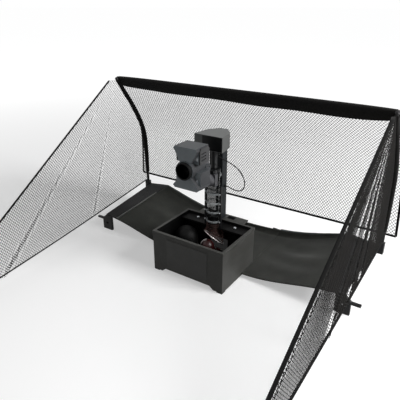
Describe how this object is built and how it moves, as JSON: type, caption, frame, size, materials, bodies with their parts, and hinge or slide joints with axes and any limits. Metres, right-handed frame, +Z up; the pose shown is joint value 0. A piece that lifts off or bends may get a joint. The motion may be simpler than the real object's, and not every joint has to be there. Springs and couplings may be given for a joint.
{
  "type": "table tennis robot",
  "caption": "Table tennis robot with a ball hopper, a clear feed tube, a throwing head that pans and tilts, and a catch net over a fabric tray.",
  "frame": {"origin": "centre of the outer box at the table surface, below the whole robot", "axes": "+Z up, -Y the way the balls fly, +X to the right of someone who looks at the front"},
  "size_m": [1.296, 1.2687, 0.695],
  "materials": {
    "hopper_plastic": "fine satin",
    "panel_plastic": "fine satin",
    "inside_plastic": "satin",
    "foot_rubber": "matt",
    "bright_steel": "bright",
    "red_gloss": "gloss",
    "clear_plastic": "clear gloss",
    "pale_plastic": "gloss",
    "black_plastic": "satin",
    "post_aluminium": "grey anodised",
    "box_paint": "satin",
    "board_green": "matt",
    "servo_plastic": "matt",
    "elbow_plastic": "satin",
    "head_plastic": "satin",
    "vent_plastic": "satin",
    "tyre_rubber": "matt",
    "hub_aluminium": "turned",
    "tray_fabric": "woven",
    "rod_aluminium": "satin",
    "frame_plastic": "satin",
    "pole_paint": "satin",
    "net_fabric": "knotted mesh"
  },
  "bodies": {
    "base": {"hopper_shell": "hopper_plastic", "hopper_floor": "inside_plastic", "front_panel": "panel_plastic", "foot_front_left": "foot_rubber", "foot_front_right": "foot_rubber", "foot_rear_left": "foot_rubber", "foot_rear_right": "foot_rubber", "rear_deck": "hopper_plastic", "tube_bracket": "inside_plastic", "bracket_screw_left": "bright_steel", "bracket_screw_right": "bright_steel", "feed_motor": "inside_plastic", "feed_hood": "clear_plastic", "feed_tube": "clear_plastic", "tube_ring_low": "pale_plastic", "tube_ring_mid": "pale_plastic", "tube_ring_high": "pale_plastic", "tube_rail_left": "black_plastic", "tube_rail_right": "black_plastic", "tube_clamp": "pale_plastic", "post": "post_aluminium", "top_box": "box_paint", "top_box_window": "black_plastic", "pan_servo": "servo_plastic", "control_board": "board_green", "power_socket": "foot_rubber", "cable_gland_upper": "foot_rubber", "cable_gland_lower": "foot_rubber", "head_cable": "foot_rubber", "tray_deck": "tray_fabric", "left_wing": "tray_fabric", "left_end_rod": "rod_aluminium", "right_wing": "tray_fabric", "right_end_rod": "rod_aluminium", "left_clip": "frame_plastic", "right_clip": "frame_plastic", "left_back_rail": "frame_plastic", "left_pole": "pole_paint", "right_back_rail": "frame_plastic", "right_pole": "pole_paint", "top_bar": "pole_paint", "back_net": "net_fabric", "left_side_net": "net_fabric", "right_side_net": "net_fabric"},
    "pan_unit": {"pan_shaft": "black_plastic", "elbow_cap": "black_plastic", "feed_elbow": "elbow_plastic"},
    "head": {"head_upper_shell": "head_plastic", "head_lower_shell": "head_plastic", "nozzle_ring": "inside_plastic", "left_vent_panel": "vent_plastic", "right_vent_panel": "vent_plastic", "upper_motor": "bright_steel", "lower_motor": "bright_steel"},
    "feed_wheel": {"feed_wheel": "red_gloss"},
    "upper_wheel": {"upper_wheel_hub": "hub_aluminium", "upper_wheel_tyre": "tyre_rubber"},
    "lower_wheel": {"lower_wheel_hub": "hub_aluminium", "lower_wheel_tyre": "tyre_rubber"},
    "power_switch": {"power_switch": "black_plastic"}
  },
  "joints": [
    {"name": "pan", "type": "hinge", "parent": "base", "child": "pan_unit", "pos_m": [0, 0.318, 0.45], "axis": [0, 0, 1], "range_deg": [-25, 25]},
    {"name": "tilt", "type": "hinge", "parent": "pan_unit", "child": "head", "pos_m": [0, 0.218, 0.455], "axis": [-1, 0, 0], "range_deg": [-5, 25]},
    {"name": "upper_wheel_spin", "type": "hinge", "parent": "head", "child": "upper_wheel", "pos_m": [0, 0.156, 0.507], "axis": [1, 0, 0], "continuous": true},
    {"name": "lower_wheel_spin", "type": "hinge", "parent": "head", "child": "lower_wheel", "pos_m": [0, 0.156, 0.421], "axis": [1, 0, 0], "continuous": true},
    {"name": "feed_wheel_spin", "type": "hinge", "parent": "base", "child": "feed_wheel", "pos_m": [0.007, 0.263, 0.04], "axis": [0, 0, 1], "continuous": true},
    {"name": "power_rocker", "type": "hinge", "parent": "base", "child": "power_switch", "pos_m": [0, 0.3885, 0.535], "axis": [1, 0, 0], "range_deg": [-7, 7]}
  ]
}
